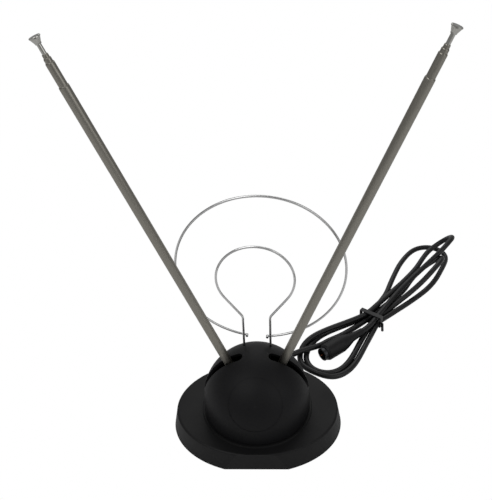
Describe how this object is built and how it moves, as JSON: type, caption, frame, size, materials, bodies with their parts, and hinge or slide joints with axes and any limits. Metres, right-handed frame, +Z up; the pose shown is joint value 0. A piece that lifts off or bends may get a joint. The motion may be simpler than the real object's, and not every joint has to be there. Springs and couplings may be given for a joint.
{
  "type": "indoor television antenna",
  "caption": "Indoor television antenna: two telescopic rods and two wire loops on a black dome and weighted oval base, with its coaxial cord tied in a hank.",
  "frame": {"origin": "under the middle of the base, on the surface it stands on", "axes": "+Z up, front faces -Y, +X to the right seen from the front"},
  "size_m": [0.33, 0.3033, 0.3243],
  "materials": {
    "base_plastic": "satin black moulding",
    "dome_plastic": "satin black moulding",
    "steel_plate": "zinc-plated sheet steel",
    "rubber": "black rubber",
    "screw_steel": "zinc-plated",
    "loop_wire": "bright plated wire",
    "rod_nickel": "dull nickel plate",
    "tip_nickel": "bright nickel plate",
    "bush_brass": "plain",
    "board_laminate": "solder-masked laminate",
    "ferrite": "sintered ferrite",
    "copper": "copper",
    "red_insulation": "PVC insulation",
    "black_insulation": "PVC insulation",
    "cord_jacket": "soft black PVC jacket",
    "plug_plastic": "moulded black PVC",
    "plug_metal": "nickel-plated"
  },
  "bodies": {
    "base": {"base_shell": "base_plastic", "bottom_cover": "base_plastic", "ballast_plate": "steel_plate", "rubber_feet": "rubber", "cover_screws": "screw_steel", "dome_cover": "dome_plastic", "dome_screws": "screw_steel", "left_bracket": "steel_plate", "right_bracket": "steel_plate", "bracket_screws": "screw_steel", "left_pivot_screw": "screw_steel", "right_pivot_screw": "screw_steel", "left_spring_washer": "screw_steel", "right_spring_washer": "screw_steel", "left_pivot_nut": "screw_steel", "right_pivot_nut": "screw_steel", "small_loop": "loop_wire", "large_loop": "loop_wire", "circuit_board": "board_laminate", "board_screws": "screw_steel", "ferrite_ring": "ferrite", "balun_winding": "copper", "left_lead_wire": "red_insulation", "right_lead_wire": "black_insulation", "inner_cord": "cord_jacket", "cord_grommet": "rubber", "cord_lead": "cord_jacket", "cord_hank": "cord_jacket", "cord_tie": "cord_jacket", "plug_grip": "plug_plastic", "plug_nut": "plug_metal", "plug_pin": "copper"},
    "left_rod": {"left_knuckle": "rod_nickel", "left_tube_1": "rod_nickel"},
    "left_section_2": {"left_tube_2": "rod_nickel", "left_bush_2": "bush_brass"},
    "left_section_3": {"left_tube_3": "rod_nickel", "left_bush_3": "bush_brass"},
    "left_section_4": {"left_tube_4": "rod_nickel", "left_bush_4": "bush_brass"},
    "left_tip": {"left_tip_rod": "tip_nickel", "left_tip_knob": "tip_nickel", "left_bush_5": "bush_brass"},
    "right_rod": {"right_knuckle": "rod_nickel", "right_tube_1": "rod_nickel"},
    "right_section_2": {"right_tube_2": "rod_nickel", "right_bush_2": "bush_brass"},
    "right_section_3": {"right_tube_3": "rod_nickel", "right_bush_3": "bush_brass"},
    "right_section_4": {"right_tube_4": "rod_nickel", "right_bush_4": "bush_brass"},
    "right_tip": {"right_tip_rod": "tip_nickel", "right_tip_knob": "tip_nickel", "right_bush_5": "bush_brass"}
  },
  "joints": [
    {"name": "left_swing", "type": "hinge", "parent": "base", "child": "left_rod", "pos_m": [-0.0105, -0.0018, 0.038], "axis": [0, -1, 0], "range_deg": [-15.5, 58.5]},
    {"name": "left_section_2_slide", "type": "slide", "parent": "left_rod", "child": "left_section_2", "axis": [-0.3665, 0, 0.9304], "range_m": [-0.015, 0.199]},
    {"name": "left_section_3_slide", "type": "slide", "parent": "left_section_2", "child": "left_section_3", "axis": [-0.3665, 0, 0.9304], "range_m": [-0.002, 0.199]},
    {"name": "left_section_4_slide", "type": "slide", "parent": "left_section_3", "child": "left_section_4", "axis": [-0.3665, 0, 0.9304], "range_m": [-0.002, 0.199]},
    {"name": "left_tip_slide", "type": "slide", "parent": "left_section_4", "child": "left_tip", "axis": [-0.3665, 0, 0.9304], "range_m": [-0.005, 0.199]},
    {"name": "right_swing", "type": "hinge", "parent": "base", "child": "right_rod", "pos_m": [0.0105, -0.0018, 0.038], "axis": [0, 1, 0], "range_deg": [-15.5, 58.5]},
    {"name": "right_section_2_slide", "type": "slide", "parent": "right_rod", "child": "right_section_2", "axis": [0.3665, 0, 0.9304], "range_m": [-0.015, 0.199]},
    {"name": "right_section_3_slide", "type": "slide", "parent": "right_section_2", "child": "right_section_3", "axis": [0.3665, 0, 0.9304], "range_m": [-0.002, 0.199]},
    {"name": "right_section_4_slide", "type": "slide", "parent": "right_section_3", "child": "right_section_4", "axis": [0.3665, 0, 0.9304], "range_m": [-0.002, 0.199]},
    {"name": "right_tip_slide", "type": "slide", "parent": "right_section_4", "child": "right_tip", "axis": [0.3665, 0, 0.9304], "range_m": [-0.005, 0.199]}
  ]
}
